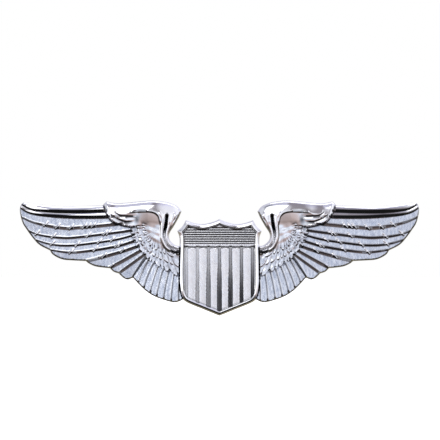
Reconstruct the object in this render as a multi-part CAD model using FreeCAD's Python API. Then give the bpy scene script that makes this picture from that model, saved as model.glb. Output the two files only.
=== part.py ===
import FreeCAD, Part
import math
import os
from FreeCAD import Vector

# Pilot wings badge. A die-struck plate carries both wings, a separately struck shield is
# riveted over its bridge, and two nail-headed posts behind the wings hold it through the
# cloth with spring-jawed clutches.
#
# Frame, in millimetres: X along the span, to the right as seen from the front. Y is depth,
# the front faces -Y. Z is up as worn. The origin is on the plate's flat back, at mid-span.

# ---- driving dimensions ----
SPAN = 76.2
BLANK_THICKNESS = 1.2
TIP_RELIEF = 1.5
ROOT_RELIEF = 2.7
FEATHER_STEP = 0.55
ARM_RELIEF = 3.7
COVERT_RELIEF = 2.3

SEAT_DEPTH = BLANK_THICKNESS
SHIELD_HEIGHT = 2.3
SHIELD_HALF_WIDTH = 7.7
SHIELD_WALL_INSET = 0.35
SHIELD_RIM = 0.55
FIELD_DEPTH = 0.55
PALE_COUNT = 6
PALE_PITCH = 2.09
PALE_WIDTH = 1.42
PALE_HEIGHT = 0.35
CHIEF_LINES = 7
CHIEF_PITCH = 0.43
CHIEF_TOP = 5.7
CHIEF_BAR_Z = 2.45
RIVET_R = 0.6
RIVET_HEAD_R = 1.0
RIVET_Z = (2.8, -4.6)

POST_X = 19.0
POST_Z = 4.0
POST_R = 0.5
POST_LENGTH = 8.0
POST_NECK_R = 0.46
POST_TIP_R = 0.2
FLANGE_R = 2.0
FLANGE_THICKNESS = 0.5
NOTCH_START = 6.5
NOTCH_LENGTH = 0.4
NOTCH_R = 0.38

CLOTH_GAP = 3.0
PIP_HEIGHT = 0.4
PIP_CIRCLE_R = 3.9
PIP_COUNT = 3
SHEET = 0.3
BASE_R = 5.7
BASE_THICKNESS = 0.35
CUP_R = 3.6
CUP_FLANGE_R = 5.27
CUP_DEPTH = 2.25
NIPPLE_R = 1.15
NIPPLE_BORE_R = 0.8
JAW_HALF_WIDTH = 1.55
JAW_TRAVEL = 0.6
JAW_INNER_END = 1.15
GRIP_R = 0.53
EAR_ROOT = 4.3
TAB_INNER = 2.6
SPRING_R = 2.33
SPRING_WIRE_R = 0.2
SPRING_SWEEP = 300
FIT_CLEARANCE = 0.01

# Depths along a post, measured from the badge's back.
BASE_FACE = CLOTH_GAP + PIP_HEIGHT
BASE_INSIDE = BASE_FACE + BASE_THICKNESS
FLANGE_TOP = BASE_INSIDE + SHEET
OUTER_JAW_Y = FLANGE_TOP + 0.2
INNER_JAW_Y = OUTER_JAW_Y + SHEET + 0.1
WINDOW_TOP = INNER_JAW_Y + SHEET + 0.1
ROOF_INSIDE = BASE_INSIDE + CUP_DEPTH
NIPPLE_END = POST_LENGTH + 0.06

FRONT = Vector(0, -1, 0)
BACK = Vector(0, 1, 0)

# Wing outline, right half, as runs of (distance from mid-span, height). Each run is one
# smooth curve and the runs meet at corners.
OUTLINE_RUNS = [
    # crest of the shoulder
    [(7.25, 8.9), (8.1, 9.9), (9.45, 10.5), (10.8, 10.78), (12.65, 10.98), (14.8, 10.85),
     (17.0, 10.62), (19.0, 10.45), (20.2, 10.5), (21.5, 10.8)],
    # end of the arm, then the leading edge
    [(21.5, 10.8), (21.95, 10.45), (22.25, 10.05)],
    [(22.25, 10.05), (28.9, 9.84), (33.5, 10.1), (37.3, 10.65)],
    # wing tip
    [(37.3, 10.65), (37.85, 10.2), (SPAN / 2, 9.0), (37.65, 6.9), (36.8, 5.45), (35.35, 3.5),
     (34.2, 2.4), (32.35, 1.45)],
    # tips of the lower primaries
    [(32.35, 1.45), (31.9, 0.75), (30.9, 0.1), (29.7, -0.32), (28.2, -0.44), (25.5, -0.58)],
    [(25.5, -0.58), (24.9, -1.05), (23.7, -1.58), (22.0, -1.84), (20.9, -1.95)],
    [(20.9, -1.95), (20.2, -2.6), (19.2, -2.96)],
    [(19.2, -2.96), (18.75, -3.4), (18.05, -3.97), (17.4, -4.1), (16.5, -3.78)],
    # tips of the secondaries
    [(16.5, -3.78), (15.3, -5.1), (14.1, -6.23), (12.8, -7.12), (11.35, -7.75), (9.75, -8.25),
     (8.7, -8.5)],
    [(8.7, -8.5), (7.6, -8.25), (6.2, -7.4)],
    # bridge behind the shield
    [(6.2, -7.4), (4.6, -8.0)],
    [(4.6, -8.0), (0.0, -9.4)],
    [(0.0, -9.4), (0.0, 6.0)],
    [(0.0, 6.0), (5.2, 6.0)],
    [(5.2, 6.0), (5.6, 2.35)],
    [(5.6, 2.35), (7.9, 2.3)],
    # inner edge of the neck, beside the shield
    [(7.9, 2.3), (8.6, 2.55), (9.42, 3.35), (9.63, 4.15), (9.42, 4.97), (8.75, 6.0),
     (7.8, 7.65), (7.25, 8.9)],
]

# Lower edges of the ten primary feathers, from root to tip. The first line is the upper edge
# of the first feather. Every line runs a little past the outline, which trims it.
PRIMARY_EDGES = [
    [(15.0, 10.3), (22.0, 10.3), (28.9, 10.1), (33.5, 10.4), (38.2, 11.2)],
    [(15.0, 9.4), (22.0, 9.1), (30.1, 8.63), (33.9, 8.77), (36.0, 9.3), (38.2, 10.6)],
    [(15.0, 8.2), (21.5, 8.0), (28.2, 7.7), (33.9, 8.06), (36.5, 8.75), (38.4, 10.2)],
    [(15.0, 7.0), (19.9, 6.4), (26.3, 5.83), (30.0, 5.72), (35.2, 6.72), (38.6, 8.2)],
    [(15.0, 5.5), (19.0, 4.93), (26.3, 4.03), (30.0, 3.85), (34.6, 4.49), (38.0, 6.0)],
    [(15.0, 4.8), (19.0, 3.65), (23.7, 2.88), (28.8, 2.37), (32.7, 2.75), (36.5, 4.0)],
    [(14.6, 3.7), (19.0, 2.37), (25.0, 1.34), (29.0, 1.1), (33.5, 1.75)],
    [(14.0, 2.8), (15.8, 2.14), (19.0, 1.09), (23.7, -0.19), (27.0, -0.9)],
    [(13.6, 2.1), (15.3, 1.18), (19.0, -0.9), (22.0, -2.4)],
    [(13.2, 1.6), (14.8, 0.25), (20.0, -3.5)],
    [(13.0, 1.4), (14.3, -0.15), (17.2, -4.9)],
]
SECONDARY_COUNT = 8
SECONDARY_ROOTS = [(13.8, 0.6), (11.6, -0.9), (9.2, -2.0), (6.6, -2.6)]
SECONDARY_TIPS = [(16.9, -4.4), (13.9, -6.9), (10.4, -8.7), (6.6, -9.2)]

# Upper contour of the covert tiers, as a curve round the wing's wrist.
COVERT_ARC = [(18.2, 7.4), (16.9, 5.4), (16.4, 3.74), (15.85, 2.4), (14.9, 1.18), (14.1, 0.11),
              (12.1, -1.49), (10.75, -2.29), (8.2, -3.36), (6.0, -3.9)]
COVERT_TIERS = 3
COVERT_CENTRE = (10.2, 5.0)

# Centre line of the arm, with the half width of the tube there and its relief.
ARM_STATIONS = [
    ((21.9, 9.9), 0.35, 2.3),
    ((20.6, 8.9), 1.5, 2.9),
    ((18.2, 8.1), 2.35, 3.2),
    ((15.0, 7.9), 3.0, 3.5),
    ((12.0, 8.1), 3.0, ARM_RELIEF),
    ((9.9, 7.6), 2.45, ARM_RELIEF),
    ((9.7, 5.9), 1.7, 3.5),
    ((10.3, 4.1), 1.15, 3.2),
    ((9.4, 2.5), 1.05, 2.9),
    ((7.6, 1.75), 0.85, 2.6),
]

# Shield outline, right half, from the middle of the top down to the point.
SHIELD_TOP = [(0.0, 7.45), (1.1, 6.95), (3.1, 6.48), (4.8, 6.68), (6.4, 7.22)]
SHIELD_EAR = [(6.4, 7.22), (7.1, 6.0), (8.05, 5.15)]
SHIELD_SIDE = [(8.05, 5.15), (7.65, 4.0), (7.6, 2.2), (7.7, -1.0), (7.7, -4.0), (7.55, -6.2),
               (7.1, -7.6), (6.1, -8.5), (3.2, -9.7), (0.0, -11.0)]


# ---- helpers ----
def point(run_point, y=0.0):
    return Vector(run_point[0], y, run_point[1])


def spline_edge(run, y=0.0):
    vectors = [point(p, y) for p in run]
    if len(vectors) == 2:
        return Part.LineSegment(vectors[0], vectors[1]).toShape()
    curve = Part.BSplineCurve()
    curve.interpolate(vectors)
    return curve.toShape()


def even_points(run, count):
    return spline_edge(run).discretize(count)


def prism(runs, y_from, y_to):
    wire = Part.Wire([spline_edge(run, y_from) for run in runs])
    return Part.Face(wire).extrude(Vector(0, y_to - y_from, 0))


def polygon_face(vectors):
    return Part.Face(Part.makePolygon(vectors + [vectors[0]]))


def mirror_x(shape):
    return shape.mirror(Vector(0, 0, 0), Vector(1, 0, 0))


def cylinder(radius, y_from, y_to, x=0.0, z=0.0):
    return Part.makeCylinder(radius, y_to - y_from, Vector(x, y_from, z), BACK)


def revolve(profile):
    """Solid of revolution about Y from (radius, y) corners."""
    face = polygon_face([Vector(r, y, 0) for r, y in profile])
    return face.revolve(Vector(0, 0, 0), BACK, 360)


def export(name, shape):
    shape.exportStep("parts/" + name + ".step")
    solids = len(shape.Solids)
    print(name, "solids", solids, "valid", shape.isValid(), "volume", round(shape.Volume, 3))


# ---- wing plate ----
def relief_at(distance):
    """Height of the feathers' lower edges above the back, falling from root to tip."""
    along = (distance - 13.0) / (SPAN / 2 - 13.0)
    along = min(max(along, 0.0), 1.0)
    return ROOT_RELIEF + (TIP_RELIEF - ROOT_RELIEF) * along


def feather(upper, lower, floor_y, stations=8, overlap=0.22):
    """Sloped strip from a low upper edge to a raised lower edge, which drops to the floor."""
    sections = []
    for high, low in zip(even_points(upper, stations), even_points(lower, stations)):
        across = (high - low).normalize()
        high = high + across * overlap
        crest = relief_at(low.x)
        sections.append(Part.makePolygon([
            Vector(high.x, floor_y, high.z),
            Vector(high.x, -(crest - FEATHER_STEP), high.z),
            Vector(low.x, -crest, low.z),
            Vector(low.x, floor_y, low.z),
            Vector(high.x, floor_y, high.z),
        ]))
    return Part.makeLoft(sections, True, False)


def primaries():
    shapes = []
    for i in range(1, len(PRIMARY_EDGES)):
        shapes.append(feather(PRIMARY_EDGES[i - 1], PRIMARY_EDGES[i], -0.4 - 0.02 * i))
    return shapes


def secondaries():
    roots = even_points(SECONDARY_ROOTS, SECONDARY_COUNT + 1)
    tips = even_points(SECONDARY_TIPS, SECONDARY_COUNT + 1)
    shapes = []
    for i in range(SECONDARY_COUNT):
        upper = [(roots[i].x, roots[i].z), (tips[i].x, tips[i].z)]
        lower = [(roots[i + 1].x, roots[i + 1].z), (tips[i + 1].x, tips[i + 1].z)]
        shapes.append(feather(upper, lower, -0.62 - 0.01 * i, stations=3, overlap=0.12))
    return shapes


def coverts():
    """Stepped tiers of short feathers round the wrist, each inside the last."""
    centre = Vector(COVERT_CENTRE[0], 0, COVERT_CENTRE[1])
    shapes = []
    for tier in range(COVERT_TIERS):
        keep = 1.0 - 0.2 * tier
        arc = []
        for p in COVERT_ARC:
            arc.append((centre.x + (p[0] - centre.x) * keep, centre.z + (p[1] - centre.z) * keep))
        close = [(arc[-1][0], arc[-1][1]), (COVERT_CENTRE[0], COVERT_CENTRE[1] + 1.5)]
        back_to_start = [(COVERT_CENTRE[0], COVERT_CENTRE[1] + 1.5), arc[0]]
        height = COVERT_RELIEF + 0.3 * (tier + 1)
        shapes.append(prism([arc, close, back_to_start], -0.8 - 0.02 * tier, -height))
    return shapes


def arm():
    """Rounded tube from the leaf-shaped end, over the shoulder and down the neck."""
    centres = [station[0] for station in ARM_STATIONS]
    sections = []
    for i, (centre, half_width, height) in enumerate(ARM_STATIONS):
        before = centres[max(i - 1, 0)]
        after = centres[min(i + 1, len(centres) - 1)]
        along = Vector(after[0] - before[0], 0, after[1] - before[1]).normalize()
        across = Vector(along.z, 0, -along.x)
        middle = Vector(centre[0], 0, centre[1])
        rim = []
        for k in range(9):
            angle = math.pi * k / 8
            rise = 0.9 + (height - 0.9) * math.sin(angle) ** 0.8
            rim.append(middle + across * half_width * math.cos(angle) + FRONT * rise)
        crown = Part.BSplineCurve()
        crown.interpolate(rim)
        base = Part.LineSegment(rim[-1], rim[0]).toShape()
        sections.append(Part.Wire([crown.toShape(), base]))
    return Part.makeLoft(sections, True, True)


def half_plate():
    blank = Part.makeBox(45, BLANK_THICKNESS, 30, Vector(0, -BLANK_THICKNESS, -14))
    relief = blank.multiFuse(primaries() + secondaries() + coverts() + [arm()])
    return relief.common(prism(OUTLINE_RUNS, 0, -8))


def shield_runs(inset=0.0):
    """Shield outline, drawn in towards its middle by the inset."""
    middle_z = (SHIELD_TOP[0][1] + SHIELD_SIDE[-1][1]) / 2
    half_height = SHIELD_TOP[0][1] - middle_z
    keep_x = 1 - inset / SHIELD_HALF_WIDTH
    keep_z = 1 - inset / half_height
    half = []
    for run in (SHIELD_TOP, SHIELD_EAR, SHIELD_SIDE):
        half.append([(x * keep_x, middle_z + (z - middle_z) * keep_z) for x, z in run])
    other = [[(-x, z) for x, z in reversed(run)] for run in reversed(half)]
    return half + other


def shield_prism(y_from, y_to, inset=0.0):
    return prism(shield_runs(inset), y_from, y_to)


def wing_plate():
    half = half_plate()
    plate = half.fuse(mirror_x(half))
    plate = plate.cut(shield_prism(-SEAT_DEPTH, -9))
    for side in (-1, 1):
        socket = cylinder(FLANGE_R + FIT_CLEARANCE, -FLANGE_THICKNESS, 1, side * POST_X, POST_Z)
        plate = plate.cut(socket)
    for z in RIVET_Z:
        plate = plate.cut(rivet(z, FIT_CLEARANCE))
    return plate.removeSplitter()


# ---- shield ----
def rivet(z, clearance=0.0):
    """Peened peg: a countersunk head flush with the badge's back, a shank into the shield."""
    radius = RIVET_R + clearance
    head = Part.makeCone(RIVET_HEAD_R + clearance, radius, 0.5, Vector(0, 0, z), FRONT)
    shank = cylinder(radius, -SEAT_DEPTH - 0.8 - clearance, 0, 0, z)
    return head.fuse(shank)


def shield():
    """Struck shield: drafted wall, raised rim, lined chief over six upright pales."""
    front = -SEAT_DEPTH - SHIELD_HEIGHT
    floor_y = front + FIELD_DEPTH
    sections = []
    for y, inset in ((-SEAT_DEPTH, 0.0), (front, SHIELD_WALL_INSET)):
        sections.append(Part.Wire([spline_edge(run, y) for run in shield_runs(inset)]))
    body = Part.makeLoft(sections, True, True)
    body = body.cut(shield_prism(floor_y, front - 1, SHIELD_WALL_INSET + SHIELD_RIM))
    raised_y = floor_y - PALE_HEIGHT
    thickness = PALE_HEIGHT + 0.2
    bars = []
    for i in range(PALE_COUNT):
        x = (i - (PALE_COUNT - 1) / 2) * PALE_PITCH
        bars.append(Part.makeBox(PALE_WIDTH, thickness, 13,
                                 Vector(x - PALE_WIDTH / 2, raised_y, CHIEF_BAR_Z - 13.4)))
    bars.append(Part.makeBox(16, thickness, 0.5, Vector(-8, raised_y, CHIEF_BAR_Z - 0.25)))
    for i in range(CHIEF_LINES + 1):
        z = CHIEF_TOP + CHIEF_PITCH / 2 - CHIEF_PITCH * i
        width = CHIEF_PITCH * 0.55
        bars.append(Part.makeBox(16, thickness, width, Vector(-8, raised_y, z - width / 2)))
    inside = shield_prism(0, -9, SHIELD_WALL_INSET + SHIELD_RIM - 0.1)
    body = body.multiFuse([bar.common(inside) for bar in bars])
    for z in RIVET_Z:
        body = body.cut(rivet(z, FIT_CLEARANCE))
    return body.removeSplitter()


# ---- posts ----
def post(x):
    """Nail-headed post: flange in the badge's back, parallel through the cloth, then tapering."""
    notch_end = NOTCH_START + NOTCH_LENGTH
    shape = revolve([
        (0, -FLANGE_THICKNESS), (FLANGE_R, -FLANGE_THICKNESS), (FLANGE_R, 0), (POST_R, 0),
        (POST_R, CLOTH_GAP), (POST_NECK_R, NOTCH_START),
        (NOTCH_R, (NOTCH_START + notch_end) / 2), (POST_NECK_R, notch_end),
        (POST_TIP_R, POST_LENGTH), (0, POST_LENGTH),
    ])
    shape.translate(Vector(x, 0, POST_Z))
    return shape


# ---- clutch, built on an axis through the origin with its outer side at +X ----
def clutch_base():
    """Round base with a funnel for the post, a rolled rim and three pips that grip the cloth."""
    lip_inside = FLANGE_TOP + 0.02
    lip_top = lip_inside + 0.28
    disc = revolve([
        (0.62, BASE_INSIDE), (0.62, BASE_FACE + 0.2), (1.05, BASE_FACE), (5.3, BASE_FACE),
        (BASE_R - 0.1, BASE_FACE + 0.15), (BASE_R, BASE_FACE + 0.4), (BASE_R, lip_top - 0.2),
        (BASE_R - 0.15, lip_top), (4.95, lip_top), (4.85, lip_top - 0.1), (4.85, lip_inside),
        (5.3, lip_inside), (5.3, BASE_INSIDE),
    ])
    for i in range(PIP_COUNT):
        angle = math.radians(90 + 360 / PIP_COUNT * i)
        x = PIP_CIRCLE_R * math.cos(angle)
        z = PIP_CIRCLE_R * math.sin(angle)
        disc = disc.fuse(Part.makeCone(0.55, 0.2, PIP_HEIGHT + 0.1,
                                       Vector(x, BASE_FACE + 0.1, z), FRONT))
    return disc


def clutch_housing():
    """Flanged cup with a nipple that covers the post's point, and a window for each jaw."""
    roof = ROOF_INSIDE + SHEET
    cup = revolve([
        (CUP_R - SHEET, BASE_INSIDE), (CUP_FLANGE_R, BASE_INSIDE), (CUP_FLANGE_R, FLANGE_TOP),
        (CUP_R, FLANGE_TOP), (CUP_R, roof - 0.35), (CUP_R - 0.35, roof), (NIPPLE_R + 0.2, roof),
        (NIPPLE_R, roof + 0.2), (NIPPLE_R, NIPPLE_END), (NIPPLE_R - 0.4, NIPPLE_END + 0.35),
        (0, NIPPLE_END + 0.4), (0, NIPPLE_END), (NIPPLE_BORE_R - 0.3, NIPPLE_END),
        (NIPPLE_BORE_R, NIPPLE_END - 0.3), (NIPPLE_BORE_R, ROOF_INSIDE),
        (CUP_R - SHEET - 0.2, ROOF_INSIDE), (CUP_R - SHEET, ROOF_INSIDE - 0.2),
    ])
    window_half = JAW_HALF_WIDTH + 0.2
    window_low = FLANGE_TOP + 0.08
    window = Part.makeBox(2 * CUP_R + 2, WINDOW_TOP - window_low, 2 * window_half,
                          Vector(-CUP_R - 1, window_low, -window_half))
    return cup.cut(window)


def grip_slot(y):
    """Slot in a jaw, round at the end that bites the post and long enough to let it go."""
    throw = JAW_TRAVEL + 0.15
    bite = cylinder(GRIP_R, y - 0.1, y + SHEET + 0.1)
    far = cylinder(GRIP_R, y - 0.1, y + SHEET + 0.1, throw)
    middle = Part.makeBox(throw, SHEET + 0.2, 2 * GRIP_R, Vector(0, y - 0.1, -GRIP_R))
    return bite.fuse([far, middle])


def jaw(y):
    """Sheet jaw: slotted strip across the post, a tab for the spring and a flared ear."""
    inner = [(EAR_ROOT, y + SHEET), (EAR_ROOT, 5.1), (4.55, 5.95), (5.0, 6.95), (5.35, 7.75),
             (5.75, 8.2)]
    outer = [(5.98, 8.0), (5.63, 7.55), (5.3, 6.85), (4.85, 5.85), (4.6, 5.05), (4.6, y)]
    strip = [Vector(-JAW_INNER_END, y, 0), Vector(-JAW_INNER_END, y + SHEET, 0)]
    profile = strip + [Vector(u, v, 0) for u, v in inner + outer]
    blade = polygon_face(profile).extrude(Vector(0, 0, 6))
    blade.translate(Vector(0, 0, -3))
    width = JAW_HALF_WIDTH
    ear_outline = [(width, y - 0.1), (width, 4.95), (2.1, 5.6), (2.55, 6.5), (2.55, 7.3),
                   (2.1, 7.9), (1.2, 8.15), (0, 8.3)]
    other = [(-z, v) for z, v in reversed(ear_outline[:-1])]
    corners = [Vector(-2, v, z) for z, v in ear_outline + other]
    blade = blade.common(polygon_face(corners).extrude(Vector(9, 0, 0)))
    tab = Part.makeBox(SHEET, ROOF_INSIDE - 0.25 - y, 1.6, Vector(TAB_INNER, y, -0.8))
    return blade.fuse(tab).cut(grip_slot(y)).removeSplitter()


def clutch_spring():
    """Open ring of wire round the post that pushes the two tabs apart. Its gap is at the top."""
    centre = Vector(0, (WINDOW_TOP + ROOF_INSIDE) / 2 - 0.05, 0)
    ring = Part.makeTorus(SPRING_R, SPRING_WIRE_R, centre, BACK, 0, 360, SPRING_SWEEP)
    ring.rotate(centre, BACK, (360 - SPRING_SWEEP) / 2)
    return ring


def placed(shape, side):
    """Move a clutch piece to the left (-1) or right (1) post, outer side outward."""
    if side < 0:
        shape = mirror_x(shape)
    shape.translate(Vector(side * POST_X, 0, POST_Z))
    return shape


def main():
    os.makedirs("parts", exist_ok=True)
    export("wing_plate", wing_plate())
    export("shield", shield())
    export("shield_rivets", Part.makeCompound([rivet(z) for z in RIVET_Z]))
    inner_jaw = mirror_x(jaw(INNER_JAW_Y))
    for side, name in ((-1, "left"), (1, "right")):
        export(name + "_post", post(side * POST_X))
        export(name + "_clutch_base", placed(clutch_base(), side))
        export(name + "_clutch_housing", placed(clutch_housing(), side))
        export(name + "_clutch_outer_jaw", placed(jaw(OUTER_JAW_Y), side))
        export(name + "_clutch_inner_jaw", placed(inner_jaw.copy(), side))
        export(name + "_clutch_spring", placed(clutch_spring(), side))


main()
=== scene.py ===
"""Looks for the pilot wings badge: struck relief, polished and satin plate, brass clutch backs.

Relief is worked out in millimetres on a drawing of the badge's front: s is the distance from
mid-span, z the height as worn, and the relief h stands out of the flat back towards -Y.
"""
import math

import bmesh
import bpy
import numpy as np
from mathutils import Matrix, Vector, kdtree
from mathutils.geometry import delaunay_2d_cdt


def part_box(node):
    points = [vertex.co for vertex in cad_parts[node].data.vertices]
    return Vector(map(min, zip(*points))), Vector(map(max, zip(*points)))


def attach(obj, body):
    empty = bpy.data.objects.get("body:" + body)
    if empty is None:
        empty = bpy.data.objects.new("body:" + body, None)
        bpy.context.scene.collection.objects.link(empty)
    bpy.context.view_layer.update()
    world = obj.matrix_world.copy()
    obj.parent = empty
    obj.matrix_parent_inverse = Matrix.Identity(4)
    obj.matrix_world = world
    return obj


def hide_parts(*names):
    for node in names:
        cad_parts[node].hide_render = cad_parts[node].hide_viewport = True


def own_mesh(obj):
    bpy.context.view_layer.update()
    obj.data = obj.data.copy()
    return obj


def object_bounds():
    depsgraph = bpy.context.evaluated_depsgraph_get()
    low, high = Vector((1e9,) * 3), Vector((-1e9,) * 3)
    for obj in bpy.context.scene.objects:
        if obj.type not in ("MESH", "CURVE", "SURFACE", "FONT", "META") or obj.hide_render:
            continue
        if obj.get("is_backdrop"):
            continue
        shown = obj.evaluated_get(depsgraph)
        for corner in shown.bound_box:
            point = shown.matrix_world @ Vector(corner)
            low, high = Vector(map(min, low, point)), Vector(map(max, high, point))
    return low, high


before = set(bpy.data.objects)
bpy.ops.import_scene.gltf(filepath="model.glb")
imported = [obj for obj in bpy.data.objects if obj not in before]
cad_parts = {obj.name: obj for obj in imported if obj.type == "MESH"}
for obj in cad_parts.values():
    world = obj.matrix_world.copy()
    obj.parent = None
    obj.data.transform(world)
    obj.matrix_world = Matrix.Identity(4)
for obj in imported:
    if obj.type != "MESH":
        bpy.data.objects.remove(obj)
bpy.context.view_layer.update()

DRAWING_SPAN = 76.2
MM = (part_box("wing_plate")[1].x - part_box("wing_plate")[0].x) / DRAWING_SPAN
WINGS_BODY = "badge"

# ---- the drawing of the wings ----
ROOT_RELIEF = 2.7
TIP_RELIEF = 1.5
FALL_START = 13.0
FALL_RUN = 25.1
SEAT_RELIEF = -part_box("shield")[1].y / MM
WING_SPACING = 0.1
BACK_SPACING = 1.3
CURVE_SPACING = 0.1
STEP_SPACING = 0.15
LINE_GAP = 0.07
WALL_WIDTH = 0.26
WALL_FOOT = 0.45
LIP_WIDTH = 0.17
UNDERSIDE_SHADE = 0.9
BACK_POLISH = 0.25

OUTLINE_RUNS = [
    [(7.25, 8.9), (8.1, 9.9), (9.45, 10.5), (10.8, 10.78), (12.65, 10.98), (14.8, 10.85),
     (17.0, 10.62), (19.0, 10.45), (20.2, 10.5), (21.5, 10.8)],
    [(21.5, 10.8), (21.95, 10.45), (22.25, 10.05)],
    [(22.25, 10.05), (28.9, 9.84), (33.5, 10.1), (37.3, 10.65)],
    [(37.3, 10.65), (37.85, 10.2), (38.1, 9.0), (37.65, 6.9), (36.8, 5.45), (35.35, 3.5),
     (34.2, 2.4), (32.35, 1.45)],
    [(32.35, 1.45), (31.9, 0.75), (30.9, 0.1), (29.7, -0.32), (28.2, -0.44), (25.5, -0.58)],
    [(25.5, -0.58), (24.9, -1.05), (23.7, -1.58), (22.0, -1.84), (20.9, -1.95)],
    [(20.9, -1.95), (20.2, -2.6), (19.2, -2.96)],
    [(19.2, -2.96), (18.75, -3.4), (18.05, -3.97), (17.4, -4.1), (16.5, -3.78)],
    [(16.5, -3.78), (15.3, -5.1), (14.1, -6.23), (12.8, -7.12), (11.35, -7.75), (9.75, -8.25),
     (8.7, -8.5)],
    [(8.7, -8.5), (7.6, -8.25), (6.2, -7.4)],
    [(6.2, -7.4), (4.6, -8.0)],
    [(4.6, -8.0), (0.0, -9.4)],
    [(0.0, -9.4), (0.0, 6.0)],
    [(0.0, 6.0), (5.2, 6.0)],
    [(5.2, 6.0), (5.6, 2.35)],
    [(5.6, 2.35), (7.9, 2.3)],
    [(7.9, 2.3), (8.6, 2.55), (9.42, 3.35), (9.63, 4.15), (9.42, 4.97), (8.75, 6.0),
     (7.8, 7.65), (7.25, 8.9)],
]

# Lower edge of each primary, from the top one down: its line from root to tip, the widths of the
# shaded step at root, middle and tip, and the step's height.
PRIMARY_LINES = [
    ([(14.0, 9.1), (21.5, 9.0), (25.5, 8.88), (29.6, 8.87), (34.6, 9.1), (36.6, 9.6), (38.6, 10.9)],
     (0.48, 0.5, 0.12), 0.42),
    ([(14.0, 8.0), (21.5, 7.85), (25.5, 7.8), (29.6, 7.9), (34.6, 8.3), (36.8, 8.85), (38.8, 10.2)],
     (0.48, 0.48, 0.1), 0.42),
    ([(14.0, 7.0), (19.9, 6.4), (26.3, 5.83), (30.0, 5.72), (35.2, 6.72), (38.8, 8.3)],
     (0.4, 0.42, 0.1), 0.4),
    ([(14.0, 5.6), (19.0, 4.93), (26.3, 4.03), (30.0, 3.85), (34.6, 4.49), (38.2, 6.1)],
     (0.3, 0.3, 0.1), 0.36),
    ([(14.6, 4.9), (19.0, 3.65), (23.7, 2.88), (28.8, 2.37), (32.7, 2.75), (36.8, 4.1)],
     (0.25, 0.26, 0.1), 0.36),
    ([(14.2, 3.9), (19.0, 2.37), (25.0, 1.34), (29.0, 1.1), (33.8, 1.85)],
     (0.34, 0.3, 0.1), 0.38),
    ([(13.8, 3.0), (15.8, 2.14), (19.0, 1.09), (23.7, -0.19), (27.0, -0.9)],
     (0.36, 0.42, 0.36), 0.42),
    ([(13.4, 2.2), (15.3, 1.18), (19.0, -0.9), (22.3, -2.6)],
     (0.36, 0.42, 0.3), 0.42),
    ([(13.0, 1.7), (14.8, 0.25), (20.2, -3.65)],
     (0.3, 0.34, 0.3), 0.4),
    ([(12.6, 1.5), (14.3, -0.15), (17.6, -5.3)],
     (0.2, 0.18, 0.18), 0.34),
]
WING_TOP = [(12.0, 10.9), (22.0, 10.25), (28.9, 9.9), (33.5, 10.15), (39.0, 11.0)]
TUBE_FEATHERS = (0, 1)
PRIMARY_STEP_SHARE = 0.66
SECONDARY_COUNT = 8
SECONDARY_STEP = ((0.2, 0.16, 0.1), 0.26)
SECONDARY_STEP_SHARE = 0.5
SECONDARY_BOW = (0.12, 0.1)
NOTCH_WIDTH = 0.12
NOTCH_DEPTH = 0.6
SECONDARY_ROOTS = [(13.9, 0.9), (11.6, -0.6), (9.0, -1.7), (6.4, -2.3)]
SECONDARY_TIPS = [(17.0, -4.6), (13.9, -7.1), (10.4, -8.9), (6.2, -9.3)]

COVERT_CENTRE = (11.8, 5.6)
COVERT_RELIEF = 2.86
# Rows of coverts, the longest first: reach as a share of the arc's, plumes in the row, shift.
COVERT_ROWS = [(1.0, 20, 0.0), (0.78, 17, 0.5), (0.56, 13, 0.2)]
PLUME_RAMP = 6.5
PLUME_LENGTH = 0.26
# Outer edge of the coverts, from the leaf round to the shield.
COVERT_ARC = [(17.2, 6.9), (16.9, 5.9), (16.8, 4.97), (16.4, 3.74), (15.85, 2.4), (14.9, 1.18),
              (14.1, 0.11), (13.2, -0.82), (12.1, -1.49), (10.75, -2.29), (9.4, -2.83),
              (8.2, -3.36), (6.0, -4.3)]

# The rolled arm: its leaf-shaped end, its lower line, the ridges that run down the neck and the
# dark groove between them, root end last.
LEAF_EDGE = [(22.6, 10.7), (22.0, 9.9), (21.8, 9.2), (21.4, 8.25), (20.75, 7.3), (20.1, 6.75),
             (18.8, 6.28), (16.9, 5.88), (15.6, 6.0)]
ARM_LOWER = [(17.6, 8.45), (16.9, 8.62), (15.2, 8.78), (13.5, 8.82), (12.3, 8.55), (11.65, 7.9),
             (11.4, 7.0)]
INNER_BAND = [(11.7, 9.0), (10.95, 7.9), (10.78, 6.5), (10.87, 5.16), (10.85, 3.85), (10.4, 2.67),
              (9.55, 1.72), (7.2, 1.1)]
NECK_TUBE = [(8.0, 8.95), (8.75, 7.6), (9.4, 6.4), (9.87, 5.35), (10.08, 4.2), (9.8, 3.12),
             (9.0, 2.25), (7.2, 1.75)]
NECK_GROOVE = [(9.95, 8.45), (10.15, 6.6), (10.45, 5.2), (10.5, 4.1), (10.15, 2.9), (9.3, 2.05),
               (7.2, 1.42)]
NECK_PIT = [(9.1, 1.35), (8.4, 1.12), (7.6, 1.25)]
BAND_RIDGE = (0.62, 0.95)
NECK_RIDGE = (0.55, 0.75)
GROOVE_WIDTH = 0.27
GROOVE_DEPTH = 1.1
PIT_WIDTH = 0.26
PIT_DEPTH = 0.5
# Centre and size of a patch of painted shade at the leaf's inner end.
SHADE_PATCH_AT = (15.7, 7.35)
SHADE_PATCH_SIZE = (0.5, 0.75)
TUBE_FOOT = 1.75
TUBE_RISE = 1.65
BOWL_RELIEF = 2.98
LEAF_CREASES = [
    [(19.8, 8.7), (18.85, 8.08), (17.4, 7.9), (16.2, 7.85), (15.3, 7.7)],
    [(20.6, 8.2), (19.5, 7.5), (18.2, 6.95), (17.1, 6.86), (15.9, 7.05)],
]
NICK_WIDTH = 0.145
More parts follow.
